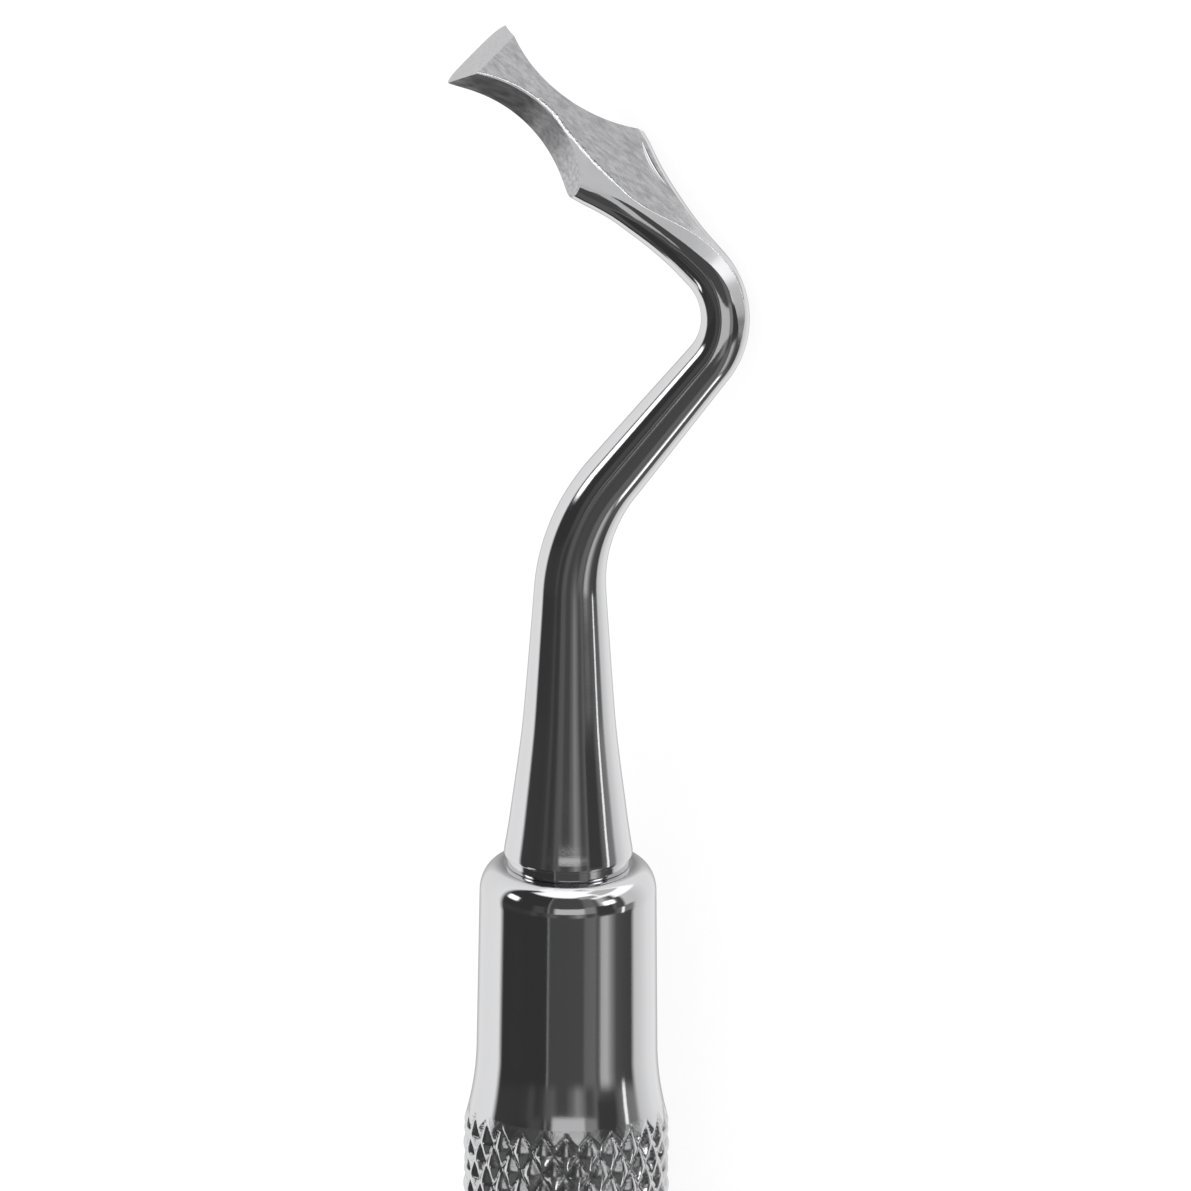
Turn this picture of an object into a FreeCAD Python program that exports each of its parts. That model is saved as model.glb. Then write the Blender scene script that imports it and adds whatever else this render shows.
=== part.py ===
import FreeCAD, Part
import math
import os

V = FreeCAD.Vector

# Periodontal chisel, millimetres.  It lies as it rests: the handle's axis is along X
# with the blade towards +X, and the floor is z = 0.

# Shank centreline, measured from the ferrule's mouth
FIRST_STRAIGHT = 13.35
FIRST_BEND_RADIUS = 8.9
FIRST_BEND_ANGLE = 38.0
SLANT_STRAIGHT = 7.2
SECOND_BEND_RADIUS = 3.25
SECOND_BEND_ANGLE = 84.5
SECOND_BEND_LEAN = 21.0
HEAD_BOW_RADIUS = 80.0
HEAD_LENGTH = 14.8

# Blade
BLADE_ROLL = 38.5
FACET_ROLL_IN_BEND = 27.0
BLADE_HALF_WIDTH = 2.75
BLADE_SHIFT = 0.08
TOP_FACE_HEIGHT = 0.85
TOP_RUN_OUT_HEIGHT = 1.2
BEVEL_ANGLE = 43.0
BEVEL_DROP = 0.96
WAIST_DRAFT = 10.5
NEAR_WAIST_FROM_EDGE = 4.12
NEAR_WAIST_DEPTH = 0.6
NEAR_WAIST_RADIUS = 5.2
FAR_WAIST_FROM_EDGE = 4.1
FAR_WAIST_DEPTH = 0.93
FAR_WAIST_RADIUS = 6.24
STRIP_TILT = 5.0
STRIP_WIDEST = -0.9
STRIP_IN_BEND = 0.2
STRIP_CLOSING = 0.36
STRIP_END_FROM_EDGE = 4.9

# Root of the shank
ROOT_RADIUS = 2.97
NECK_RADIUS = 2.84
NECK_HEIGHT = 0.55
TANG_RADIUS = 2.48
TANG_LENGTH = 14.0
TANG_CHAMFER = 0.4

# Handle
BORE_CLEARANCE = 0.02
BORE_END_GAP = 0.8
MOUTH_RADIUS = 3.06
MOUTH_HEIGHT = 1.35
FERRULE_RADIUS = 4.08
FERRULE_END_RADIUS = 4.17
FERRULE_LENGTH = 8.7
FLARE_LENGTH = 4.1
GRIP_RADIUS = 4.75
KNURL_DEPTH = 0.3
KNURL_COLUMNS = 26
KNURL_ROWS = 48
KNURL_ROW_PITCH = 1.0
REAR_TAPER_LENGTH = 2.4
TAIL_RADIUS = 4.2
TAIL_LENGTH = 38.0
TAIL_CHAMFER = 0.9

X_AXIS = V(1, 0, 0)
Z_AXIS = V(0, 0, 1)


def turn(vector, axis, degrees):
    return FreeCAD.Rotation(axis, degrees).multVec(vector)


SLANT_DIRECTION = turn(X_AXIS, Z_AXIS, -FIRST_BEND_ANGLE)
SECOND_AXIS = turn(Z_AXIS, SLANT_DIRECTION, -SECOND_BEND_LEAN)

FIRST_BEND_LENGTH = FIRST_BEND_RADIUS * math.radians(FIRST_BEND_ANGLE)
SECOND_BEND_LENGTH = SECOND_BEND_RADIUS * math.radians(SECOND_BEND_ANGLE)
FIRST_BEND_START = FIRST_STRAIGHT
SLANT_START = FIRST_BEND_START + FIRST_BEND_LENGTH
SECOND_BEND_START = SLANT_START + SLANT_STRAIGHT
HEAD_START = SECOND_BEND_START + SECOND_BEND_LENGTH
EDGE_STATION = HEAD_START + HEAD_LENGTH

# Lengths of the centreline with the radius and axis of their bend
CENTRELINE = [
    (FIRST_STRAIGHT, None, None),
    (FIRST_BEND_LENGTH, FIRST_BEND_RADIUS, Z_AXIS * -1),
    (SLANT_STRAIGHT, None, None),
    (SECOND_BEND_LENGTH, SECOND_BEND_RADIUS, SECOND_AXIS),
    (HEAD_LENGTH + 5, HEAD_BOW_RADIUS, SECOND_AXIS),
]


def centreline(station):
    """Point, direction and outer side of the centreline at a length along it."""
    point = V(0, 0, 0)
    direction = X_AXIS
    left = station
    for length, radius, axis in CENTRELINE:
        run = min(left, length)
        if radius is None:
            point = point + direction * run
        else:
            side = axis.cross(direction)
            angle = math.degrees(run / radius)
            point = point + (side - turn(side, axis, angle)) * radius
            direction = turn(direction, axis, angle)
        left -= run
        if left <= 0:
            break
    axis = turn(Z_AXIS, direction, -SECOND_BEND_LEAN)
    if station > SECOND_BEND_START:
        axis = SECOND_AXIS
    return point, direction, direction.cross(axis)


def blend(value, start, end):
    """Smooth step from 0 at start to 1 at end."""
    share = max(0.0, min(1.0, (value - start) / (end - start)))
    return share * share * (3 - 2 * share)


def frame_at(station):
    """Centre, direction, width direction and top direction of a section."""
    point, direction, outer = centreline(station)
    share = blend(station, HEAD_START - 1.0, HEAD_START + 4.0)
    roll = FACET_ROLL_IN_BEND + (BLADE_ROLL - FACET_ROLL_IN_BEND) * share
    top = turn(outer, direction, -roll)
    return point, direction, direction.cross(top), top


# Sizes along the shank and head: station, half width, half thickness,
# rise of the centre towards the top face and squareness.
SHANK_SIZES = [
    (NECK_HEIGHT, ROOT_RADIUS, ROOT_RADIUS, 0, 2),
    (1.2, 2.88, 2.88, 0, 2),
    (2.0, 2.76, 2.76, 0, 2),
    (3.0, 2.63, 2.63, 0, 2),
    (4.9, 2.38, 2.38, 0, 2),
    (6.9, 2.15, 2.15, 0, 2),
    (8.9, 1.99, 1.99, 0, 2),
    (10.8, 1.85, 1.85, 0, 2),
    (12.6, 1.72, 1.72, 0, 2),
    (FIRST_BEND_START + 0.8, 1.62, 1.62, 0, 2),
    (FIRST_BEND_START + 2.3, 1.53, 1.53, 0, 2),
    (FIRST_BEND_START + 3.8, 1.46, 1.46, 0, 2),
    (FIRST_BEND_START + 5.2, 1.40, 1.40, 0, 2),
    (SLANT_START + 0.8, 1.36, 1.36, 0, 2),
    (SLANT_START + 2.6, 1.31, 1.31, 0, 2),
    (SLANT_START + 4.6, 1.25, 1.25, 0, 2),
    (SLANT_START + 6.4, 1.19, 1.19, 0, 2),
    (SECOND_BEND_START + 0.6, 1.15, 1.15, 0, 2),
    (SECOND_BEND_START + 1.4, 1.13, 1.13, 0, 2),
    (SECOND_BEND_START + 2.2, 1.12, 1.12, 0, 2),
    (SECOND_BEND_START + 3.0, 1.12, 1.12, 0, 2),
    (SECOND_BEND_START + 3.8, 1.12, 1.12, 0, 2),
    (SECOND_BEND_START + 4.6, 1.14, 1.12, 0, 2),
    (EDGE_STATION - 13.6, 1.20, 1.10, 0, 2),
    (EDGE_STATION - 12.5, 1.34, 1.11, 0, 2),
    (EDGE_STATION - 11.3, 1.57, 1.12, 0, 2.05),
    (EDGE_STATION - 10.2, 1.84, 1.13, 0.03, 2.1),
    (EDGE_STATION - 9.3, 2.16, 1.13, 0.06, 2.2),
    (EDGE_STATION - 8.6, 2.45, 1.12, 0.09, 2.3),
    (EDGE_STATION - 7.7, 2.70, 1.10, 0.13, 2.3),
    (EDGE_STATION - 6.6, BLADE_HALF_WIDTH, 1.08, 0.20, 2.3),
    (EDGE_STATION - 5.4, BLADE_HALF_WIDTH, 1.05, 0.28, 2.3),
    (EDGE_STATION - 4.2, BLADE_HALF_WIDTH, 1.01, 0.37, 2.4),
    (EDGE_STATION - 3.0, BLADE_HALF_WIDTH - 0.03, 0.94, 0.44, 2.7),
    (EDGE_STATION - 1.9, BLADE_HALF_WIDTH - 0.10, 0.86, 0.49, 3.1),
    (EDGE_STATION - 0.9, BLADE_HALF_WIDTH - 0.19, 0.78, 0.54, 3.6),
    (EDGE_STATION, BLADE_HALF_WIDTH - 0.28, 0.71, 0.60, 4),
    (EDGE_STATION + 0.8, BLADE_HALF_WIDTH - 0.30, 0.68, 0.63, 4),
]
FIRST_BEND_STEPS = 12
SECOND_BEND_STEPS = 16
SECTION_POINTS = 16


def section_stations():
    """Stations of the sections: those of the sizes, and closer ones round the bends."""
    stations = []
    for row in SHANK_SIZES:
        in_first = FIRST_BEND_START - 0.2 < row[0] < SLANT_START + 0.2
        in_second = SECOND_BEND_START - 0.2 < row[0] < HEAD_START + 0.2
        if not in_first and not in_second:
            stations.append(row[0])
    for step in range(FIRST_BEND_STEPS + 1):
        stations.append(FIRST_BEND_START + FIRST_BEND_LENGTH * step / FIRST_BEND_STEPS)
    for step in range(SECOND_BEND_STEPS + 1):
        stations.append(SECOND_BEND_START + SECOND_BEND_LENGTH * step / SECOND_BEND_STEPS)
    return sorted(stations)


def sizes_at(station):
    """Sizes of the section at a station, between the two nearest rows."""
    for before, after in zip(SHANK_SIZES, SHANK_SIZES[1:]):
        if station <= after[0]:
            break
    share = (station - before[0]) / (after[0] - before[0])
    return [first + (second - first) * share for first, second in zip(before[1:], after[1:])]


def section_wire(station):
    half_width, half_thickness, rise, squareness = sizes_at(station)
    point, direction, width, top = frame_at(station)
    point = point + width * (BLADE_SHIFT * blend(station, HEAD_START + 1.5, HEAD_START + 6.0))
    points = []
    for index in range(SECTION_POINTS):
        angle = 2 * math.pi * index / SECTION_POINTS
        across = math.copysign(abs(math.cos(angle)) ** (2.0 / squareness), math.cos(angle))
        up = math.copysign(abs(math.sin(angle)) ** (2.0 / squareness), math.sin(angle))
        points.append(point + width * (half_width * across) + top * (rise + half_thickness * up))
    shares = [index / SECTION_POINTS for index in range(SECTION_POINTS + 1)]
    curve = Part.BSplineCurve()
    curve.interpolate(Points=points, PeriodicFlag=True, Parameters=shares)
    return Part.Wire([curve.toShape()])


def top_height(station):
    """Height of the ground top face above the centreline; it runs out in the bend."""
    share = blend(station, SECOND_BEND_START - 1.5, HEAD_START + 6.0)
    return TOP_RUN_OUT_HEIGHT + (TOP_FACE_HEIGHT - TOP_RUN_OUT_HEIGHT) * share


def strip_offset(station):
    """Place across the top face where the narrow ground strip beside it begins."""
    widening = blend(station, HEAD_START + 0.5, HEAD_START + 5.0)
    closing = blend(station, HEAD_START + 6.5, EDGE_STATION - STRIP_END_FROM_EDGE)
    return STRIP_IN_BEND + (STRIP_WIDEST - STRIP_IN_BEND) * widening + STRIP_CLOSING * closing


def face_cutter(stations, offset, tilt):
    """Everything above a ground face, which follows the head into the bend."""
    wires = []
    for station in stations:
        point, direction, width, top = frame_at(station)
        crest = point + top * top_height(station) + width * offset(station)
        across = turn(width, direction, -tilt) * 4.0
        up = turn(top, direction, -tilt) * 3.0
        corners = [crest - across, crest + across, crest + across + up, crest - across + up]
        wires.append(Part.makePolygon(corners + corners[:1]))
    return Part.makeLoft(wires, True)


def ground_stations(last):
    """Close together in the bend, where the ground faces run out, and wider along the head."""
    stations = [SECOND_BEND_START + 0.4 + 0.45 * step for step in range(12)]
    rest = last - stations[-1]
    return stations + [stations[-1] + rest * step / 10 for step in range(1, 11)]


def waist_cutter(side, from_edge, depth, radius):
    """Round indentation in one flank, wider at the top face than at the back."""
    point, direction, width, top = frame_at(EDGE_STATION - from_edge)
    reach = 2.0
    growth = reach * math.tan(math.radians(WAIST_DRAFT))
    centre = point + width * (side * (depth + radius)) - top * reach
    return Part.makeCone(radius - growth, radius + growth, 2 * reach, centre, top)


def bevel_cutter():
    """Space in front of the single bevel that makes the cutting edge."""
    point, direction, width, top = frame_at(EDGE_STATION)
    edge = point + top * (TOP_FACE_HEIGHT - BEVEL_DROP)
    slope = turn(direction * -1, width, BEVEL_ANGLE)
    if slope.dot(top) < 0:
        slope = turn(direction * -1, width, -BEVEL_ANGLE)
    ahead = width.cross(slope)
    if ahead.dot(direction) < 0:
        ahead = ahead * -1
    corner = edge - slope * 3 - width * 4
    corners = [corner, corner + slope * 8, corner + slope * 8 + ahead * 5, corner + ahead * 5]
    return Part.Face(Part.makePolygon(corners + corners[:1])).extrude(width * 8)


def make_working_end():
    body = Part.makeLoft([section_wire(station) for station in section_stations()], True, True)
    body = body.cut(face_cutter(ground_stations(EDGE_STATION + 3), lambda station: 0, 0))
    body = body.cut(face_cutter(ground_stations(EDGE_STATION - STRIP_END_FROM_EDGE), strip_offset, STRIP_TILT))
    body = body.cut(waist_cutter(1, FAR_WAIST_FROM_EDGE, FAR_WAIST_DEPTH, FAR_WAIST_RADIUS))
    body = body.cut(waist_cutter(-1, NEAR_WAIST_FROM_EDGE, NEAR_WAIST_DEPTH, NEAR_WAIST_RADIUS))
    body = body.cut(bevel_cutter())
    tang_end = -TANG_LENGTH
    outline = [
        V(NECK_HEIGHT + 0.2, 0, 0),
        V(NECK_HEIGHT + 0.2, NECK_RADIUS, 0),
        V(0, NECK_RADIUS, 0),
        V(0, TANG_RADIUS, 0),
        V(tang_end + TANG_CHAMFER, TANG_RADIUS, 0),
        V(tang_end, TANG_RADIUS - TANG_CHAMFER, 0),
        V(tang_end, 0, 0),
    ]
    tang = Part.Face(Part.makePolygon(outline + outline[:1])).revolve(V(0, 0, 0), X_AXIS, 360)
    return body.fuse(tang)


KNURL_START = -(FERRULE_LENGTH + FLARE_LENGTH)
KNURL_END = KNURL_START - KNURL_ROWS * KNURL_ROW_PITCH
TAIL_START = KNURL_END - REAR_TAPER_LENGTH
TAIL_END = TAIL_START - TAIL_LENGTH
LAND_RADIUS = GRIP_RADIUS + 0.02


def knurl_point(column, row):
    """Crossing of two grooves or tip of a diamond on the lattice."""
    tip = (column + row) % 2
    radius = GRIP_RADIUS if tip else GRIP_RADIUS - KNURL_DEPTH
    angle = math.pi * column / KNURL_COLUMNS
    x = KNURL_START - row * KNURL_ROW_PITCH
    return V(x, radius * math.cos(angle), radius * math.sin(angle))


def triangle(first, second, third):
    return Part.Face(Part.makePolygon([first, second, third, first]))


def knurl_faces():
    """Four sloping sides for every diamond, cut across at both ends of the grip."""
    faces = []
    for row in range(KNURL_ROWS):
        for column in range(2 * KNURL_COLUMNS):
            near = knurl_point(column, row)
            near_next = knurl_point(column + 1, row)
            far = knurl_point(column, row + 1)
            far_next = knurl_point(column + 1, row + 1)
            if (column + row) % 2:
                faces.append(triangle(near, near_next, far))
                faces.append(triangle(near_next, far_next, far))
            else:
                faces.append(triangle(near, near_next, far_next))
                faces.append(triangle(near, far_next, far))
    return faces


def end_ring(row, x):
    """Flat ring between the smooth land and the ends of the grooves."""
    points = [knurl_point(column, row) for column in range(2 * KNURL_COLUMNS)]
    star = Part.makePolygon(points + points[:1])
    land = Part.Wire([Part.makeCircle(LAND_RADIUS, V(x, 0, 0), X_AXIS)])
    return Part.Face([land, star])


def flare_arc(foot_x, foot_radius, rim_x, rim_radius):
    """Concave flare that leaves the foot level and meets the rim at an angle."""
    length = rim_x - foot_x
    rise = rim_radius - foot_radius
    radius = (length * length + rise * rise) / (2 * rise)
    half = 0.5 * math.asin(abs(length) / radius)
    middle = V(foot_x + math.copysign(radius * math.sin(half), length),
               foot_radius + radius * (1 - math.cos(half)), 0)
    return Part.Arc(V(foot_x, foot_radius, 0), middle, V(rim_x, rim_radius, 0)).toShape()


def line(first, second):
    return Part.makeLine(V(first[0], first[1], 0), V(second[0], second[1], 0))


def mouth_shoulder():
    """Quarter of an oval from the ferrule's mouth to its side."""
    centre = V(-MOUTH_HEIGHT, MOUTH_RADIUS, 0)
    oval = Part.Ellipse(centre, MOUTH_HEIGHT, FERRULE_RADIUS - MOUTH_RADIUS)
    return Part.ArcOfEllipse(oval, 0, math.pi / 2).toShape()


def make_handle():
    bore_end = -(TANG_LENGTH + BORE_END_GAP)
    bore_radius = TANG_RADIUS + BORE_CLEARANCE
    front = [
        line((bore_end - bore_radius * 0.6, 0), (bore_end, bore_radius)),
        line((bore_end, bore_radius), (0, bore_radius)),
        line((0, bore_radius), (0, MOUTH_RADIUS)),
        mouth_shoulder(),
        line((-MOUTH_HEIGHT, FERRULE_RADIUS), (-FERRULE_LENGTH, FERRULE_END_RADIUS)),
        flare_arc(-FERRULE_LENGTH, FERRULE_END_RADIUS, KNURL_START, LAND_RADIUS),
    ]
    back = [
        line((KNURL_END, LAND_RADIUS), (TAIL_START, TAIL_RADIUS)),
        line((TAIL_START, TAIL_RADIUS), (TAIL_END + TAIL_CHAMFER, TAIL_RADIUS)),
        line((TAIL_END + TAIL_CHAMFER, TAIL_RADIUS), (TAIL_END, TAIL_RADIUS - TAIL_CHAMFER)),
        line((TAIL_END, TAIL_RADIUS - TAIL_CHAMFER), (TAIL_END, 0)),
    ]
    faces = []
    for edge in front + back:
        faces.extend(edge.revolve(V(0, 0, 0), X_AXIS, 360).Faces)
    faces.append(end_ring(0, KNURL_START))
    faces.append(end_ring(KNURL_ROWS, KNURL_END))
    faces.extend(knurl_faces())
    shell = Part.Compound(faces)
    shell.sewShape()
    solid = Part.Solid(shell.Shells[0])
    solid.fix(1e-5, 1e-5, 1e-5)
    return solid


def needed_pitch(points, roll):
    """Pitch about the end of the grip that lifts every rolled point off the floor."""
    rotation = FreeCAD.Rotation(X_AXIS, roll)
    turned = [rotation.multVec(point) for point in points]
    return max(math.degrees(math.atan2(-LAND_RADIUS - point.z, point.x - KNURL_END))
               for point in turned)


def resting_pose(points):
    """Roll with the least pitch, where shoulder and bend share the load, and that pitch."""
    far = [point for point in points if math.hypot(point.y, point.z) > 4]
    roll = min(range(0, 90, 2), key=lambda degrees: needed_pitch(far, degrees))
    step = 1.0
    while step > 0.001:
        roll = min((roll - step, roll, roll + step), key=lambda degrees: needed_pitch(far, degrees))
        step *= 0.7
    return roll, needed_pitch(far, roll)


def lay_down(shape, roll, pitch):
    shape.rotate(V(0, 0, 0), X_AXIS, roll)
    shape.rotate(V(KNURL_END, 0, -LAND_RADIUS), V(0, 1, 0), -pitch)
    shape.translate(V(0, 0, LAND_RADIUS))


working_end = make_working_end()
handle = make_handle()
roll, pitch = resting_pose(working_end.tessellate(0.01)[0])
lay_down(working_end, roll, pitch)
lay_down(handle, roll, pitch)

reach = working_end.copy().tessellate(0.01)[0]
back = handle.copy().tessellate(0.01)[0]
middle = V(0.5 * (max(point.x for point in reach) + min(point.x for point in back)),
           0.5 * (max(point.y for point in reach + back) + min(point.y for point in reach + back)), 0)

os.makedirs("parts", exist_ok=True)
for name, shape in (("working_end", working_end), ("handle", handle)):
    shape.translate(middle * -1)
    shape.exportStep("parts/" + name + ".step")
    print(name, shape.isValid(), len(shape.Solids), round(shape.Volume, 1), len(shape.Faces))
print("roll", round(roll, 3), "pitch", round(pitch, 3), "middle", middle)
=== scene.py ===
import bmesh
import bpy
import math
from mathutils import Matrix, Vector


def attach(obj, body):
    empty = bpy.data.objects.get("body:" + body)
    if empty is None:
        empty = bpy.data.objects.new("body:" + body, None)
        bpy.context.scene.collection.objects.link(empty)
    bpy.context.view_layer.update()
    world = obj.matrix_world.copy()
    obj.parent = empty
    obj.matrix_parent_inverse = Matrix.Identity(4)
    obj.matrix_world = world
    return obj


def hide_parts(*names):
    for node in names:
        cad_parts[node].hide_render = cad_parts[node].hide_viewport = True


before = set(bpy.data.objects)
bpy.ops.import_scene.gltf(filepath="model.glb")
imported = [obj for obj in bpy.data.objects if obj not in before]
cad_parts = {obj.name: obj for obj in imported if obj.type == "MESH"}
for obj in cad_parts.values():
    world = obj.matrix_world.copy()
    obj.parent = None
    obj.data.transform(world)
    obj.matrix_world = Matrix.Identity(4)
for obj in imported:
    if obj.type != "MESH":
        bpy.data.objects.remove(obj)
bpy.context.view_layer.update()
MM = 0.001

# How the instrument lies: roll about the handle, then pitch about the end of the grip
ROLL = math.radians(40.455)
PITCH = math.radians(0.804)
GRIP_END = Vector((-60.8, 0, -4.77))
MIDDLE = Vector((-31.6256, 0.7310, 0))

# Shank centreline, measured from the ferrule's mouth, in millimetres
FIRST_STRAIGHT = 13.35
FIRST_BEND_RADIUS = 8.9
FIRST_BEND_ANGLE = 38.0
SLANT_STRAIGHT = 7.2
SECOND_BEND_RADIUS = 3.25
SECOND_BEND_ANGLE = 84.5
SECOND_BEND_LEAN = 21.0
HEAD_BOW_RADIUS = 80.0
HEAD_LENGTH = 14.8

# Blade
BLADE_ROLL = 38.5
FACET_ROLL_IN_BEND = 27.0
BLADE_HALF_WIDTH = 2.75
BLADE_SHIFT = 0.08
TOP_FACE_HEIGHT = 0.85
TOP_RUN_OUT_HEIGHT = 1.2
BEVEL_ANGLE = 43.0
BEVEL_DROP = 0.96
WAIST_DRAFT = 10.5
NEAR_WAIST = (4.12, 0.6, 5.2)
FAR_WAIST = (4.1, 0.93, 6.24)
STRIP_TILT = 5.0
STRIP_WIDEST = -0.9
STRIP_IN_BEND = 0.2
STRIP_CLOSING = 0.36
STRIP_END_FROM_EDGE = 4.9
GROOVE_SLOPE = math.radians(40.0)
PAST_EDGE = 0.8

# Rough border line beside the strip
BORDER_STEP = 0.12
BORDER_FROM_RIM = 0.16
BORDER_HALF_WIDTH = 0.03
BORDER_WIDENING = 0.07
BORDER_CLOSING = 0.055
BORDER_UNEVEN = 0.35
BORDER_WAVES = (11.3, 4.7)

# Narrow hollow at the far shoulder
HOLLOW_FROM_EDGE = 10.75
HOLLOW_LENGTH = 2.2
HOLLOW_ACROSS = 1.05
HOLLOW_SWEEP = 0.8
HOLLOW_TIP = 0.02
HOLLOW_SWELL = 0.44
HOLLOW_STEPS = 20

# Root of the shank, ferrule, grip and tail
ROOT_RADIUS = 2.97
NECK_RADIUS = 2.84
NECK_HEIGHT = 0.55
TANG_RADIUS = 2.48
TANG_LENGTH = 14.0
TANG_CHAMFER = 0.4
BORE_RADIUS = 2.5
BORE_LENGTH = 14.8
BORE_POINT = 1.5
MOUTH_RADIUS = 3.06
MOUTH_HEIGHT = 1.35
FERRULE_RADIUS = 4.08
FERRULE_END_RADIUS = 4.17
FERRULE_LENGTH = 8.7
FLARE_LENGTH = 4.1
GRIP_RADIUS = 4.75
LAND_RADIUS = 4.77
KNURL_DEPTH = 0.3
KNURL_COLUMNS = 26
KNURL_SHARPNESS = 11.0
KNURL_FLOOR = 0.8
KNURL_TIP = 1.1
KNURL_HOLLOW = 1.35
KNURL_START = -12.8
KNURL_END = -60.8
REAR_TAPER_LENGTH = 2.4
TAIL_RADIUS = 4.2
TAIL_START = -63.2
TAIL_END = -101.2
TAIL_CHAMFER = 0.9

# Fineness of the skins: lengths between rings, and points or rows
RING = 96
STRAIGHT_STEP = 0.25
FIRST_BEND_STEP = 0.16
SECOND_BEND_STEP = 0.08
HEAD_STEP = 0.15
AROUND = 12 * KNURL_COLUMNS
MOUTH_STEPS = 24
FERRULE_STEP = 0.5
PLAIN_FLARE_LENGTH = 2.8
PLAIN_FLARE_STEP = 0.2
FLARE_END_STEP = 0.08
FRONT_GRIP_LENGTH = 5.0
FRONT_GRIP_STEP = 0.1
GRIP_STEP = 0.25
BLADE_CREASE = 30
HANDLE_CREASE = 50
WELD = 1e-7

# Size and fineness of the cutters
FACE_COLUMNS = 16
FACE_BEND_STEP = 0.12
FACE_HEAD_STEP = 0.3
FACE_HALF_WIDTH = 4.0
FACE_HEIGHT = 3.0
FACE_PAST_EDGE = 3.0
GROOVE_POINTS = 24
WAIST_REACH = 2.0
WAIST_ROWS = 8
WAIST_POINTS = 240
BEVEL_BELOW = 3.0
BEVEL_WIDTH = 8.0
BEVEL_HEIGHT = 8.0
BEVEL_DEPTH = 5.0

# Noise in the finishes, floor
NOISE_DETAIL = 5
NOISE_LOW = 0.3
NOISE_HIGH = 0.7
FLOOR_SIZE = 4
FLOOR_GREY = 0.18
FLOOR_GLOW = 0.87

X_AXIS = Vector((1, 0, 0))
Z_AXIS = Vector((0, 0, 1))
TURN = Matrix.Rotation(-PITCH, 3, "Y") @ Matrix.Rotation(ROLL, 3, "X")


def placed(point):
    """Instrument coordinates in millimetres to the row frame in metres."""
    rolled = Matrix.Rotation(ROLL, 3, "X") @ Vector(point)
    pitched = Matrix.Rotation(-PITCH, 3, "Y") @ (rolled - GRIP_END) + GRIP_END
    return (pitched + Vector((0, 0, LAND_RADIUS)) - MIDDLE) * MM


# Photo view: directions to the right, up and towards the camera
TILT = math.radians(20.0)
LEAN = math.radians(0.4)
SIDE = TURN @ Vector((0, -1, 0))
ALONG = TURN @ X_AXIS
FACING = TURN @ Z_AXIS
RISE = TURN @ Vector((math.cos(TILT), 0, -math.sin(TILT)))
TOWARD = TURN @ Vector((math.sin(TILT), 0, math.cos(TILT)))
RIGHT = SIDE * math.cos(LEAN) + RISE * math.sin(LEAN)
UP = RISE * math.cos(LEAN) - SIDE * math.sin(LEAN)
PIXELS = 1191
PIXELS_PER_MM = 21.68
SEAM_X = 568.2
SEAM_Y = 862.5
DISTANCE = 2.0
SENSOR_WIDTH = 36
CLIP_START = 0.01
CLIP_END = 20

field = PIXELS / PIXELS_PER_MM * MM
offset_right = (PIXELS / 2 - SEAM_X) / PIXELS_PER_MM * MM
offset_up = (SEAM_Y - PIXELS / 2) / PIXELS_PER_MM * MM
target = placed((0, 0, 0)) + RIGHT * offset_right + UP * offset_up

scene = bpy.context.scene
scene.view_settings.view_transform = "Standard"
camera_data = bpy.data.cameras.new("camera")
camera = bpy.data.objects.new("camera", camera_data)
bpy.context.collection.objects.link(camera)
camera_data.sensor_width = SENSOR_WIDTH
camera_data.lens = SENSOR_WIDTH * DISTANCE / field
camera_data.clip_start = CLIP_START
camera_data.clip_end = CLIP_END
basis = Matrix((RIGHT, UP, TOWARD)).transposed()
camera.matrix_world = Matrix.Translation(target + TOWARD * DISTANCE) @ basis.to_4x4()
scene.camera = camera


# Shapes
def turn(vector, axis, degrees):
    """Vector turned about an axis."""
    return Matrix.Rotation(math.radians(degrees), 3, axis) @ vector


def blend(value, start, end):
    """Smooth step from 0 at start to 1 at end."""
    share = max(0.0, min(1.0, (value - start) / (end - start)))
    return share * share * (3 - 2 * share)


SLANT_DIRECTION = turn(X_AXIS, Z_AXIS, -FIRST_BEND_ANGLE)
SECOND_AXIS = turn(Z_AXIS, SLANT_DIRECTION, -SECOND_BEND_LEAN)
FIRST_BEND_LENGTH = FIRST_BEND_RADIUS * math.radians(FIRST_BEND_ANGLE)
SECOND_BEND_LENGTH = SECOND_BEND_RADIUS * math.radians(SECOND_BEND_ANGLE)
SLANT_START = FIRST_STRAIGHT + FIRST_BEND_LENGTH
SECOND_BEND_START = SLANT_START + SLANT_STRAIGHT
HEAD_START = SECOND_BEND_START + SECOND_BEND_LENGTH
EDGE = HEAD_START + HEAD_LENGTH
CENTRELINE = [
    (FIRST_STRAIGHT, None, None),
    (FIRST_BEND_LENGTH, FIRST_BEND_RADIUS, Z_AXIS * -1),
    (SLANT_STRAIGHT, None, None),
    (SECOND_BEND_LENGTH, SECOND_BEND_RADIUS, SECOND_AXIS),
    (HEAD_LENGTH + 5, HEAD_BOW_RADIUS, SECOND_AXIS),
]


def centreline(station):
    """Point, direction and outer side of the centreline at a length along it."""
    point = Vector((0, 0, 0))
    direction = X_AXIS.copy()
    left = station
    for length, radius, axis in CENTRELINE:
        run = min(left, length)
        if radius is None:
            point = point + direction * run
        else:
            side = axis.cross(direction)
            angle = math.degrees(run / radius)
            point = point + (side - turn(side, axis, angle)) * radius
            direction = turn(direction, axis, angle)
        left -= run
        if left <= 0:
            break
    axis = turn(Z_AXIS, direction, -SECOND_BEND_LEAN)
    if station > SECOND_BEND_START:
        axis = SECOND_AXIS
    return point, direction, direction.cross(axis)


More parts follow.
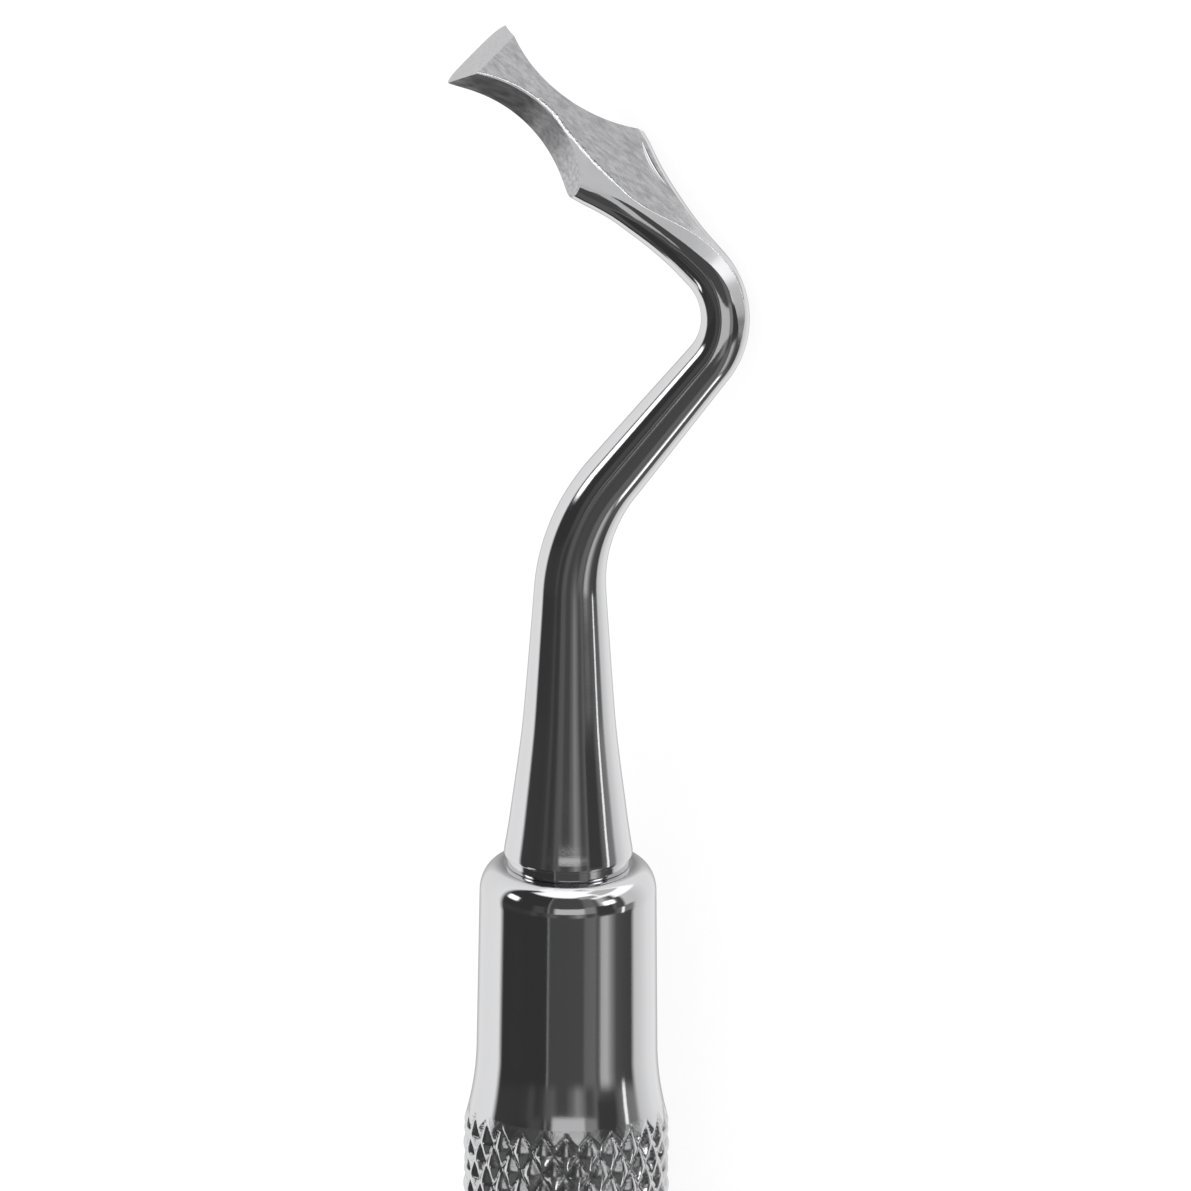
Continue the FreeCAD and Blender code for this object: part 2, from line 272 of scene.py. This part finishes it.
def frame_at(station):
    """Centre, direction, width direction and top direction of a section."""
    point, direction, outer = centreline(station)
    share = blend(station, HEAD_START - 1.0, HEAD_START + 4.0)
    roll = FACET_ROLL_IN_BEND + (BLADE_ROLL - FACET_ROLL_IN_BEND) * share
    top = turn(outer, direction, -roll)
    return point, direction, direction.cross(top), top


# Station, half width, half thickness, rise towards the top face and squareness
SHANK_SIZES = [
    (NECK_HEIGHT, ROOT_RADIUS, ROOT_RADIUS, 0, 2),
    (1.2, 2.88, 2.88, 0, 2),
    (2.0, 2.76, 2.76, 0, 2),
    (3.0, 2.63, 2.63, 0, 2),
    (4.9, 2.38, 2.38, 0, 2),
    (6.9, 2.15, 2.15, 0, 2),
    (8.9, 1.99, 1.99, 0, 2),
    (10.8, 1.85, 1.85, 0, 2),
    (12.6, 1.72, 1.72, 0, 2),
    (FIRST_STRAIGHT + 0.8, 1.62, 1.62, 0, 2),
    (FIRST_STRAIGHT + 2.3, 1.53, 1.53, 0, 2),
    (FIRST_STRAIGHT + 3.8, 1.46, 1.46, 0, 2),
    (FIRST_STRAIGHT + 5.2, 1.40, 1.40, 0, 2),
    (SLANT_START + 0.8, 1.36, 1.36, 0, 2),
    (SLANT_START + 2.6, 1.31, 1.31, 0, 2),
    (SLANT_START + 4.6, 1.25, 1.25, 0, 2),
    (SLANT_START + 6.4, 1.19, 1.19, 0, 2),
    (SECOND_BEND_START + 0.6, 1.15, 1.15, 0, 2),
    (SECOND_BEND_START + 1.4, 1.13, 1.13, 0, 2),
    (SECOND_BEND_START + 2.2, 1.12, 1.12, 0, 2),
    (SECOND_BEND_START + 3.8, 1.12, 1.12, 0, 2),
    (SECOND_BEND_START + 4.6, 1.14, 1.12, 0, 2),
    (EDGE - 13.6, 1.20, 1.10, 0, 2),
    (EDGE - 12.5, 1.34, 1.11, 0, 2),
    (EDGE - 11.3, 1.57, 1.12, 0, 2.05),
    (EDGE - 10.2, 1.84, 1.13, 0.03, 2.1),
    (EDGE - 9.3, 2.16, 1.13, 0.06, 2.2),
    (EDGE - 8.6, 2.45, 1.12, 0.09, 2.3),
    (EDGE - 7.7, 2.70, 1.10, 0.13, 2.3),
    (EDGE - 6.6, BLADE_HALF_WIDTH, 1.08, 0.20, 2.3),
    (EDGE - 5.4, BLADE_HALF_WIDTH, 1.05, 0.28, 2.3),
    (EDGE - 4.2, BLADE_HALF_WIDTH, 1.01, 0.37, 2.4),
    (EDGE - 3.0, BLADE_HALF_WIDTH - 0.03, 0.94, 0.44, 2.7),
    (EDGE - 1.9, BLADE_HALF_WIDTH - 0.10, 0.86, 0.49, 3.1),
    (EDGE - 0.9, BLADE_HALF_WIDTH - 0.19, 0.78, 0.54, 3.6),
    (EDGE, BLADE_HALF_WIDTH - 0.28, 0.71, 0.60, 4),
    (EDGE + PAST_EDGE, BLADE_HALF_WIDTH - 0.30, 0.68, 0.63, 4),
]


def slope_at(rows, index, column):
    """Slope of a column at a row that doesn't overshoot its neighbours."""
    if index == 0 or index == len(rows) - 1:
        return 0.0
    back = rows[index][0] - rows[index - 1][0]
    ahead = rows[index + 1][0] - rows[index][0]
    first = (rows[index][column] - rows[index - 1][column]) / back
    second = (rows[index + 1][column] - rows[index][column]) / ahead
    if first * second <= 0:
        return 0.0
    heavy = 2 * ahead + back
    light = ahead + 2 * back
    return (heavy + light) / (heavy / first + light / second)


def sizes_at(station):
    """Sizes of the section at a station, on smooth curves through the rows."""
    rows = SHANK_SIZES
    index = 0
    while index < len(rows) - 2 and station > rows[index + 1][0]:
        index += 1
    length = rows[index + 1][0] - rows[index][0]
    share = (station - rows[index][0]) / length
    values = []
    for column in range(1, 5):
        first = rows[index][column]
        last = rows[index + 1][column]
        lift = slope_at(rows, index, column) * length
        fall = slope_at(rows, index + 1, column) * length
        values.append(first * (1 + 2 * share) * (1 - share) ** 2 + lift * share * (1 - share) ** 2
                      + last * share * share * (3 - 2 * share) - fall * share * share * (1 - share))
    return values


def section_ring(station):
    """Ring of the shank or the blade, before the cuts."""
    half_width, half_thickness, rise, squareness = sizes_at(station)
    point, direction, width, top = frame_at(station)
    point = point + width * (BLADE_SHIFT * blend(station, HEAD_START + 1.5, HEAD_START + 6.0))
    ring = []
    for index in range(RING):
        angle = 2 * math.pi * (index + 0.5) / RING
        across = math.copysign(abs(math.cos(angle)) ** (2.0 / squareness), math.cos(angle))
        up = math.copysign(abs(math.sin(angle)) ** (2.0 / squareness), math.sin(angle))
        ring.append(point + width * (half_width * across) + top * (rise + half_thickness * up))
    return ring


def round_ring(station, radius):
    """Ring about the handle's axis, lined up with the section rings."""
    width, top = frame_at(0.0)[2:]
    ring = []
    for index in range(RING):
        angle = 2 * math.pi * (index + 0.5) / RING
        spoke = width * math.cos(angle) + top * math.sin(angle)
        ring.append(X_AXIS * station + spoke * radius)
    return ring


def spread(start, end, step):
    """Even stations from start up to, but without, end."""
    count = max(1, round((end - start) / step))
    return [start + (end - start) * index / count for index in range(count)]


def skin(name, rings):
    """Closed mesh object through rings of equal length."""
    count = len(rings[0])
    vertices = [placed(point) for ring in rings for point in ring]
    faces = []
    for row in range(len(rings) - 1):
        for index in range(count):
            after = (index + 1) % count
            near = row * count
            far = near + count
            faces.append((near + index, near + after, far + after, far + index))
    last = (len(rings) - 1) * count
    faces.append(tuple(range(count)))
    faces.append(tuple(range(last + count - 1, last - 1, -1)))
    mesh = bpy.data.meshes.new(name)
    mesh.from_pydata(vertices, [], faces)
    form = bmesh.new()
    form.from_mesh(mesh)
    bmesh.ops.recalc_face_normals(form, faces=form.faces)
    form.to_mesh(mesh)
    form.free()
    made = bpy.data.objects.new(name, mesh)
    bpy.context.collection.objects.link(made)
    return made


def top_height(station):
    """Height of the ground top face above the centreline; it runs out in the bend."""
    share = blend(station, SECOND_BEND_START - 1.5, HEAD_START + 6.0)
    return TOP_RUN_OUT_HEIGHT + (TOP_FACE_HEIGHT - TOP_RUN_OUT_HEIGHT) * share


def strip_offset(station):
    """Place across the top face where the narrow ground strip beside it begins."""
    widening = blend(station, HEAD_START + 0.5, HEAD_START + 5.0)
    closing = blend(station, HEAD_START + 6.5, EDGE - STRIP_END_FROM_EDGE)
    return STRIP_IN_BEND + (STRIP_WIDEST - STRIP_IN_BEND) * widening + STRIP_CLOSING * closing


def face_cutter(name, last, offset, tilt):
    """Everything above a ground face, which follows the head into the bend."""
    rings = []
    start = SECOND_BEND_START + 0.4
    stations = spread(start, HEAD_START, FACE_BEND_STEP)
    stations += spread(HEAD_START, EDGE + FACE_PAST_EDGE, FACE_HEAD_STEP)
    for station in [place for place in stations if place < last - 0.01] + [last]:
        point, direction, width, top = frame_at(station)
        crest = point + top * top_height(station) + width * offset(station)
        across = turn(width, direction, -tilt) * FACE_HALF_WIDTH
        up = turn(top, direction, -tilt) * FACE_HEIGHT
        ring = [crest + across * (2 * step / FACE_COLUMNS - 1) for step in range(FACE_COLUMNS + 1)]
        rings.append(ring + [crest + across + up, crest - across + up])
    return skin(name, rings)


def near_rim(station):
    """Place across the top face where the near waist cuts it."""
    from_edge, depth, radius = NEAR_WAIST
    widened = radius + TOP_FACE_HEIGHT * math.tan(math.radians(WAIST_DRAFT))
    return math.sqrt(max(0.0, widened ** 2 - (station - EDGE + from_edge) ** 2)) - depth - radius


def groove_cutter(name, path):
    """Round-bottomed groove in the top face along rows of station, place across and half width."""
    crests = []
    for station, across, reach in path:
        point, direction, width, top = frame_at(station)
        crests.append((point + top * top_height(station) + width * across, top, reach))
    rings = []
    for index, (crest, top, reach) in enumerate(crests):
        ahead = crests[min(index + 1, len(crests) - 1)][0] - crests[max(index - 1, 0)][0]
        side = ahead.cross(top).normalized()
        radius = reach / math.sin(GROOVE_SLOPE)
        centre = crest + top * (radius * math.cos(GROOVE_SLOPE))
        ring = []
        for place in range(GROOVE_POINTS):
            angle = 2 * math.pi * place / GROOVE_POINTS
            ring.append(centre + (side * math.cos(angle) + top * math.sin(angle)) * radius)
        rings.append(ring)
    return skin(name, rings)


def waist_cutter(name, side, waist):
    """Round indentation in one flank, wider at the top face than at the back."""
    from_edge, depth, radius = waist
    point, direction, width, top = frame_at(EDGE - from_edge)
    growth = WAIST_REACH * math.tan(math.radians(WAIST_DRAFT))
    centre = point + width * (side * (depth + radius))
    rings = []
    for step in range(WAIST_ROWS + 1):
        share = 2 * step / WAIST_ROWS - 1
        ring = []
        for index in range(WAIST_POINTS):
            angle = 2 * math.pi * index / WAIST_POINTS
            spoke = width * math.cos(angle) + direction * math.sin(angle)
            ring.append(centre + top * (WAIST_REACH * share) + spoke * (radius + growth * share))
        rings.append(ring)
    return skin(name, rings)


def bevel_cutter(name):
    """Space in front of the single bevel that makes the cutting edge."""
    point, direction, width, top = frame_at(EDGE)
    edge = point + top * (TOP_FACE_HEIGHT - BEVEL_DROP)
    slope = turn(direction * -1, width, BEVEL_ANGLE)
    if slope.dot(top) < 0:
        slope = turn(direction * -1, width, -BEVEL_ANGLE)
    ahead = width.cross(slope)
    if ahead.dot(direction) < 0:
        ahead = ahead * -1
    corner = edge - slope * BEVEL_BELOW - width * (BEVEL_WIDTH / 2)
    rise = slope * BEVEL_HEIGHT
    run = ahead * BEVEL_DEPTH
    ring = [corner, corner + rise, corner + rise + run, corner + run]
    return skin(name, [ring, [point + width * BEVEL_WIDTH for point in ring]])


def cut(body, cutter, finish):
    """Takes the cutter out of the body; the cut faces take the finish's material."""
    cutter.data.materials.append(finish)
    change = body.modifiers.new("cut", "BOOLEAN")
    change.operation = "DIFFERENCE"
    change.solver = "EXACT"
    change.material_mode = "TRANSFER"
    change.object = cutter
    evaluated = body.evaluated_get(bpy.context.evaluated_depsgraph_get())
    mesh = bpy.data.meshes.new_from_object(evaluated)
    body.modifiers.clear()
    body.data = mesh
    bpy.data.objects.remove(cutter)


def crease(piece, degrees):
    """Smooth shading with sharp edges at corners and where two finishes meet."""
    form = bmesh.new()
    form.from_mesh(piece.data)
    bmesh.ops.remove_doubles(form, verts=form.verts, dist=WELD)
    bmesh.ops.dissolve_degenerate(form, edges=form.edges, dist=WELD)
    for face in form.faces:
        face.smooth = True
    for edge in form.edges:
        if len(edge.link_faces) == 2:
            first, second = edge.link_faces
            corner = first.normal.angle(second.normal, 0) > math.radians(degrees)
            edge.smooth = not corner and first.material_index == second.material_index
    form.to_mesh(piece.data)
    form.free()


# Materials
def material(name):
    """New material, its nodes, its links and its shader."""
    made = bpy.data.materials.new(name)
    made.use_nodes = True
    nodes = made.node_tree.nodes
    return made, nodes, made.node_tree.links, nodes["Principled BSDF"]


def noise_field(nodes, links, scale, stretch, turned):
    """Noise on object coordinates, stretched along the axes of a turned frame."""
    place = nodes.new("ShaderNodeTexCoord")
    mapping = nodes.new("ShaderNodeMapping")
    mapping.vector_type = "TEXTURE"
    mapping.inputs["Scale"].default_value = stretch
    if turned:
        mapping.inputs["Rotation"].default_value = turned
    noise = nodes.new("ShaderNodeTexNoise")
    noise.inputs["Scale"].default_value = scale
    noise.inputs["Detail"].default_value = NOISE_DETAIL
    links.new(place.outputs["Object"], mapping.inputs["Vector"])
    links.new(mapping.outputs["Vector"], noise.inputs["Vector"])
    return noise.outputs["Fac"]


def spread_range(nodes, links, value, low, high):
    """The noise's usual range spread over low to high."""
    ramp = nodes.new("ShaderNodeMapRange")
    ramp.inputs["From Min"].default_value = NOISE_LOW
    ramp.inputs["From Max"].default_value = NOISE_HIGH
    ramp.inputs["To Min"].default_value = low
    ramp.inputs["To Max"].default_value = high
    links.new(value, ramp.inputs["Value"])
    return ramp.outputs["Result"]


def steel(name, colour, roughness, variation, bump_depth, scale, stretch=(1, 1, 1), turned=None,
          shade=0.0):
    """Steel whose roughness, shade and height follow one noise; the depth is in metres."""
    made, nodes, links, shader = material(name)
    shader.inputs["Metallic"].default_value = 1
    shader.inputs["Base Color"].default_value = (*colour, 1)
    value = noise_field(nodes, links, scale, stretch, turned)
    rough = spread_range(nodes, links, value, roughness - variation, roughness + variation)
    links.new(rough, shader.inputs["Roughness"])
    if shade:
        mix = nodes.new("ShaderNodeMix")
        mix.data_type = "RGBA"
        mix.inputs["A"].default_value = tuple(channel * (1 - shade) for channel in colour) + (1,)
        mix.inputs["B"].default_value = tuple(min(1, channel * (1 + shade)) for channel in colour) + (1,)
        links.new(spread_range(nodes, links, value, 0, 1), mix.inputs["Factor"])
        links.new(mix.outputs["Result"], shader.inputs["Base Color"])
    if bump_depth:
        bump = nodes.new("ShaderNodeBump")
        bump.inputs["Strength"].default_value = 1
        bump.inputs["Distance"].default_value = bump_depth
        links.new(value, bump.inputs["Height"])
        links.new(bump.outputs["Normal"], shader.inputs["Normal"])
    return made


STEEL = (0.63, 0.63, 0.64)
point, direction, width, top = frame_at(EDGE - NEAR_WAIST[0])
grain = (TURN @ Matrix((direction, width, top)).transposed()).to_euler()
slanted = turn(direction, top, 24)
wall_grain = (TURN @ Matrix((slanted, top.cross(slanted), top)).transposed()).to_euler()
polished = steel("polished_steel", STEEL, 0.07, 0.015, 6e-7, 12000)
grip_steel = steel("grip_steel", STEEL, 0.16, 0.08, 2.4e-5, 1900)
ground = steel("ground_steel", (0.48, 0.48, 0.49), 0.27, 0.05, 2.5e-6, 5200, (2.5, 1, 1), grain, 0.13)
strip_steel = steel("strip_steel", (0.60, 0.60, 0.61), 0.20, 0.02, 0.0, 1500)
# Steel for the rough border groove: the groove and its bump are real shape, but its near-white colour is
# a painted highlight along the border line
painted_highlight_steel = steel("painted_highlight_steel", (0.88, 0.88, 0.89), 0.14, 0.05, 4e-5, 9000)
wall_steel = steel("wall_steel", (0.45, 0.45, 0.46), 0.36, 0.05, 3e-6, 5200, (4.5, 1, 1), wall_grain,
                   0.30)
bevel_steel = steel("bevel_steel", (0.66, 0.66, 0.67), 0.30, 0.04, 1e-6, 5200, shade=0.05)

# Working end
# Station and radius along the tang, the narrow neck and the root's rounded lower edge
FOOT = [
    (-TANG_LENGTH, TANG_RADIUS - TANG_CHAMFER),
    (-TANG_LENGTH + TANG_CHAMFER, TANG_RADIUS),
    (0.0, TANG_RADIUS),
    (0.0, NECK_RADIUS - 0.03),
    (0.03, NECK_RADIUS),
    (NECK_HEIGHT - 0.07, NECK_RADIUS),
    (NECK_HEIGHT - 0.05, NECK_RADIUS + 0.02),
    (NECK_HEIGHT - 0.05, ROOT_RADIUS - 0.05),
    (NECK_HEIGHT - 0.03, ROOT_RADIUS - 0.015),
    (NECK_HEIGHT + 0.02, ROOT_RADIUS - 0.002),
]
rings = [round_ring(station, radius) for station, radius in FOOT]
stations = spread(NECK_HEIGHT + 0.1, FIRST_STRAIGHT, STRAIGHT_STEP)
stations += spread(FIRST_STRAIGHT, SLANT_START, FIRST_BEND_STEP)
stations += spread(SLANT_START, SECOND_BEND_START, STRAIGHT_STEP)
stations += spread(SECOND_BEND_START, HEAD_START, SECOND_BEND_STEP)
stations += spread(HEAD_START, EDGE + PAST_EDGE, HEAD_STEP) + [EDGE + PAST_EDGE]
rings += [section_ring(station) for station in stations]
blade = skin("working_end_skin", rings)
blade.data.materials.append(polished)
cut(blade, face_cutter("top", EDGE + FACE_PAST_EDGE, lambda station: 0, 0), ground)
cut(blade, face_cutter("strip", EDGE - STRIP_END_FROM_EDGE, strip_offset, STRIP_TILT), strip_steel)
cut(blade, waist_cutter("far_waist", 1, FAR_WAIST), wall_steel)
cut(blade, waist_cutter("near_waist", -1, NEAR_WAIST), wall_steel)
cut(blade, bevel_cutter("bevel"), bevel_steel)
border = []
for station in spread(SECOND_BEND_START + 2.0, EDGE - 0.8, BORDER_STEP):
    along_rim = blend(station, EDGE - 6.4, EDGE - 4.8)
    across = strip_offset(station) * (1 - along_rim)
    across += (near_rim(station) + BORDER_FROM_RIM) * along_rim
    reach = BORDER_HALF_WIDTH + BORDER_WIDENING * blend(station, EDGE - 11.5, EDGE - 7.5)
    reach -= BORDER_CLOSING * blend(station, EDGE - 5.0, EDGE - 3.0)
    waves = [math.sin(rate * station) for rate in BORDER_WAVES]
    uneven = 1 + BORDER_UNEVEN * waves[0] * waves[1]
    border.append((station, across, reach * uneven))
# The border groove takes the near-white steel, a painted highlight line beside the strip
cut(blade, groove_cutter("border", border), painted_highlight_steel)
hollow = []
for step in range(HOLLOW_STEPS + 1):
    share = step / HOLLOW_STEPS
    station = EDGE - HOLLOW_FROM_EDGE + HOLLOW_LENGTH * share
    across = HOLLOW_ACROSS + HOLLOW_SWEEP * share ** 2
    hollow.append((station, across, HOLLOW_TIP + HOLLOW_SWELL * share * (1 - share)))
cut(blade, groove_cutter("hollow", hollow), polished)
crease(blade, BLADE_CREASE)
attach(blade, "root")
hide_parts("working_end")

# Handle
def flare_radius(x):
    """Concave flare that leaves the ferrule level and meets the grip at an angle."""
    rise = LAND_RADIUS - FERRULE_END_RADIUS
    radius = (FLARE_LENGTH ** 2 + rise ** 2) / (2 * rise)
    run = -FERRULE_LENGTH - x
    return FERRULE_END_RADIUS + radius - math.sqrt(radius ** 2 - run ** 2)


def knurl_radius(x, angle):
    """Crossed rounded grooves with the tips between them worn smooth."""
    column = angle * KNURL_COLUMNS / math.pi
    row = KNURL_START - x
    heights = []
    for place in (column - row, column + row):
        heights.append(abs(place / 2 - round(place / 2)) * 2)
    low = -math.log(math.exp(-KNURL_SHARPNESS * heights[0]) + math.exp(-KNURL_SHARPNESS * heights[1]))
    low = max(0.0, (low + math.log(2) * KNURL_FLOOR) / KNURL_SHARPNESS)
    height = min(1.0, low * KNURL_TIP)
    return GRIP_RADIUS - KNURL_DEPTH * (1 - height) ** KNURL_HOLLOW


def plain_ring(x, radius):
    """Round ring of the handle."""
    ring = []
    for index in range(AROUND):
        angle = 2 * math.pi * index / AROUND
        ring.append(X_AXIS * x + Vector((0, math.cos(angle), math.sin(angle))) * radius)
    return ring


def rows_past(start, length, step):
    """Even places along the handle, from one step past start towards the tail."""
    return [start - step * count for count in range(1, round(length / step) + 1)]


# Distance along and radius of the bore, the mouth, the rounded shoulder and the ferrule
profile = [(-BORE_LENGTH - BORE_POINT, 0.02), (-BORE_LENGTH, BORE_RADIUS), (-0.02, BORE_RADIUS)]
profile += [(0.0, BORE_RADIUS + 0.02), (0.0, MOUTH_RADIUS)]
for step in range(1, MOUTH_STEPS + 1):
    angle = math.pi / 2 * step / MOUTH_STEPS
    profile.append((-MOUTH_HEIGHT * (1 - math.cos(angle)),
                    MOUTH_RADIUS + (FERRULE_RADIUS - MOUTH_RADIUS) * math.sin(angle)))
for x in spread(-FERRULE_LENGTH, -MOUTH_HEIGHT, FERRULE_STEP)[::-1]:
    share = (-MOUTH_HEIGHT - x) / (FERRULE_LENGTH - MOUTH_HEIGHT)
    profile.append((x, FERRULE_RADIUS + (FERRULE_END_RADIUS - FERRULE_RADIUS) * share))
rings = [plain_ring(x, radius) for x, radius in profile]

# Flare and grip, finest where the knurl begins
flare = rows_past(-FERRULE_LENGTH, PLAIN_FLARE_LENGTH, PLAIN_FLARE_STEP)
knurled = rows_past(-FERRULE_LENGTH - PLAIN_FLARE_LENGTH, FLARE_LENGTH - PLAIN_FLARE_LENGTH,
                    FLARE_END_STEP)
knurled += [KNURL_START] + rows_past(KNURL_START, FRONT_GRIP_LENGTH, FRONT_GRIP_STEP)
far_start = KNURL_START - FRONT_GRIP_LENGTH
knurled += rows_past(far_start, far_start - KNURL_END, GRIP_STEP)
for x in flare + knurled:
    ring = []
    for index in range(AROUND):
        angle = 2 * math.pi * index / AROUND
        radius = knurl_radius(x, angle)
        if x > KNURL_START:
            radius = min(flare_radius(x), radius)
        ring.append(Vector((x, radius * math.cos(angle), radius * math.sin(angle))))
    rings.append(ring)
# Distance along and radius of the rear taper, the tail and its chamfer
tail = [
    (KNURL_END - 0.02, LAND_RADIUS),
    (TAIL_START, TAIL_RADIUS),
    (TAIL_START - 0.3, TAIL_RADIUS),
    (TAIL_END + TAIL_CHAMFER + 0.05, TAIL_RADIUS),
    (TAIL_END + TAIL_CHAMFER - 0.05, TAIL_RADIUS - 0.04),
    (TAIL_END + 0.04, TAIL_RADIUS - TAIL_CHAMFER + 0.05),
    (TAIL_END, TAIL_RADIUS - TAIL_CHAMFER - 0.05),
]
rings += [plain_ring(x, radius) for x, radius in tail]
grip_piece = skin("handle_skin", rings)
grip_piece.data.materials.append(polished)
grip_piece.data.materials.append(grip_steel)
knurl_first = len(profile) + len(flare)
knurl_last = knurl_first + len(knurled)
for polygon in grip_piece.data.polygons:
    if knurl_first <= min(polygon.vertices) // AROUND < knurl_last:
        polygon.material_index = 1
crease(grip_piece, HANDLE_CREASE)
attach(grip_piece, "root")
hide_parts("handle")

# Floor: white to the camera, with the object's soft shadow
bpy.ops.mesh.primitive_plane_add(size=FLOOR_SIZE, location=(0, 0, 0))
floor = bpy.context.object
floor.name = "floor"
made, nodes, links, shader = material("floor")
nodes.remove(shader)
output = nodes["Material Output"]
diffuse = nodes.new("ShaderNodeBsdfDiffuse")
diffuse.inputs["Color"].default_value = (FLOOR_GREY, FLOOR_GREY, FLOOR_GREY, 1)
glow = nodes.new("ShaderNodeEmission")
glow.inputs["Strength"].default_value = FLOOR_GLOW
both = nodes.new("ShaderNodeAddShader")
links.new(diffuse.outputs[0], both.inputs[0])
links.new(glow.outputs[0], both.inputs[1])
links.new(both.outputs[0], output.inputs["Surface"])
floor.data.materials.append(made)
floor.visible_glossy = False

# World: white behind the object, dark with soft cards on the camera's side
world = bpy.data.worlds.new("world")
scene.world = world
world.use_nodes = True
nodes = world.node_tree.nodes
links = world.node_tree.links
background = nodes["Background"]
place = nodes.new("ShaderNodeTexCoord")


def along(direction):
    """Share of the ray's direction along a fixed direction."""
    product = nodes.new("ShaderNodeVectorMath")
    product.operation = "DOT_PRODUCT"
    product.inputs[1].default_value = direction
    links.new(place.outputs["Generated"], product.inputs[0])
    return product.outputs["Value"]


def calc(operation, first, second, third=None):
    """Result of one sum on numbers or other nodes' outputs."""
    node = nodes.new("ShaderNodeMath")
    node.operation = operation
    for socket, value in zip(node.inputs, (first, second, third)):
        if value is None:
            continue
        if isinstance(value, (int, float)):
            socket.default_value = value
        else:
            links.new(value, socket)
    return node.outputs[0]


def step_up(value, edge, soft):
    """Smooth step from 0 to 1 round an edge."""
    node = nodes.new("ShaderNodeMapRange")
    node.interpolation_type = "SMOOTHSTEP"
    node.inputs["From Min"].default_value = edge - soft
    node.inputs["From Max"].default_value = edge + soft
    links.new(value, node.inputs["Value"])
    return node.outputs["Result"]


def band(value, low, high, soft):
    """1 between low and high, 0 outside, with soft ends."""
    return calc("SUBTRACT", step_up(value, low, soft), step_up(value, high, soft))


around = calc("MULTIPLY", calc("ARCTAN2", along(SIDE), along(FACING)), 180 / math.pi)
lengthwise = along(ALONG)

# Brightness round the handle's axis, in degrees from the camera's side
BACKDROP = [
    (-180, 0.35), (-164, 0.62), (-150, 1.0), (-99, 1.12), (-92, 0.045), (-26.0, 0.045), (-25.2, 0.30),
    (-24.4, 0.30), (-23.6, 0.085), (20, 0.09), (23, 0.17), (36, 0.19), (39, 0.11), (42, 0.20),
    (45, 0.55), (52, 0.60), (59, 0.30), (66, 0.11), (75, 0.09), (90, 0.075), (97, 0.80),
    (125, 1.05), (150, 1.05), (164, 0.62), (180, 0.35),
]
# The same where the shank's cone looks
CONE_BACKDROP = [
    (-180, 0.35), (-164, 0.62), (-150, 1.0), (-99, 1.12), (-92, 0.06), (-60, 0.055), (-50, 0.062),
    (-46, 0.09), (-42, 0.085), (-37, 0.054), (-30, 0.065), (-24, 0.13), (-17, 0.145), (-10, 0.085),
    (-1, 0.085), (8, 0.19), (13, 0.32), (18, 0.26), (26, 0.09), (31, 0.10), (37, 0.17), (43, 0.10),
    (60, 0.08), (69, 0.18), (80, 0.24), (91, 0.28), (98, 0.80), (125, 1.05), (150, 1.05),
    (164, 0.62), (180, 0.35),
]


def backdrop(rows):
    """Brightness read from rows of angle and value."""
    ramp = nodes.new("ShaderNodeValToRGB")
    stops = ramp.color_ramp.elements
    while len(stops) < len(rows):
        stops.new(0.5)
    for stop, row in zip(stops, rows):
        stop.position = (row[0] + 180) / 360
    for stop, row in zip(stops, rows):
        stop.color = (row[1], row[1], row[1], 1)
    links.new(calc("MULTIPLY_ADD", around, 1 / 360, 0.5), ramp.inputs[0])
    level = nodes.new("ShaderNodeRGBToBW")
    links.new(ramp.outputs["Color"], level.inputs[0])
    return level.outputs[0]


def layered(under, mask, over):
    """Brightness with another laid over it where the mask is 1."""
    return calc("ADD", calc("MULTIPLY", under, calc("SUBTRACT", 1, mask)), calc("MULTIPLY", mask, over))


cone = band(lengthwise, -0.24, -0.02, 0.045)
light = layered(backdrop(BACKDROP), cone, backdrop(CONE_BACKDROP))

# Cards: degrees round the axis, share along it, softness of the two, brightness
CARDS = [
    ((-45, -30), (-0.05, 0.30), (4, 0.03), 0.09),
    ((38, 62), (-0.17, 0.30), (3, 0.04), 0.06),
    ((23, 36), (-0.045, 0.30), (2, 0.01), 0.30),
    ((-17, 22), (-0.045, 0.25), (2.5, 0.01), 0.68),
    ((73.5, 78), (-0.26, -0.03), (1.0, 0.03), 1.4),
    ((-80, -64), (-0.49, -0.40), (3, 0.015), 1.6),
    ((-99, -80), (-0.74, -0.53), (2, 0.02), 0.9),
    ((79, 100), (0.0, 0.62), (3, 0.04), 0.8),
    ((-70, 90), (-1.1, -0.66), (10, 0.06), 0.13),
    ((-88, -72), (0.28, 0.46), (4, 0.05), 3.0),
    ((50, 66), (0.28, 0.46), (4, 0.05), 3.0),
    ((48, 62), (-0.93, -0.72), (4, 0.04), 3.0),
    ((-200, 200), (0.94, 2.0), (5, 0.02), 1.5),
    ((-75, 50), (0.84, 2.0), (10, 0.03), 1.6),
    ((40, 78), (0.70, 2.0), (6, 0.04), 1.6),
    ((72, 120), (0.52, 2.0), (5, 0.04), 1.6),
    ((60, 114), (0.785, 0.955), (5, 0.015), 0.70),
    ((20, 54), (0.755, 0.87), (5, 0.012), 0.45),
]
for across, down, soft, strength in CARDS:
    mask = calc("MULTIPLY", band(around, *across, soft[0]), band(lengthwise, *down, soft[1]))
    light = layered(light, mask, strength)

rays = nodes.new("ShaderNodeLightPath")
even = nodes.new("ShaderNodeMix")
even.data_type = "FLOAT"
links.new(rays.outputs["Is Glossy Ray"], even.inputs["Factor"])
even.inputs["A"].default_value = 1.0
links.new(light, even.inputs["B"])
links.new(even.outputs["Result"], background.inputs["Strength"])
background.inputs["Color"].default_value = (1, 1, 1, 1)
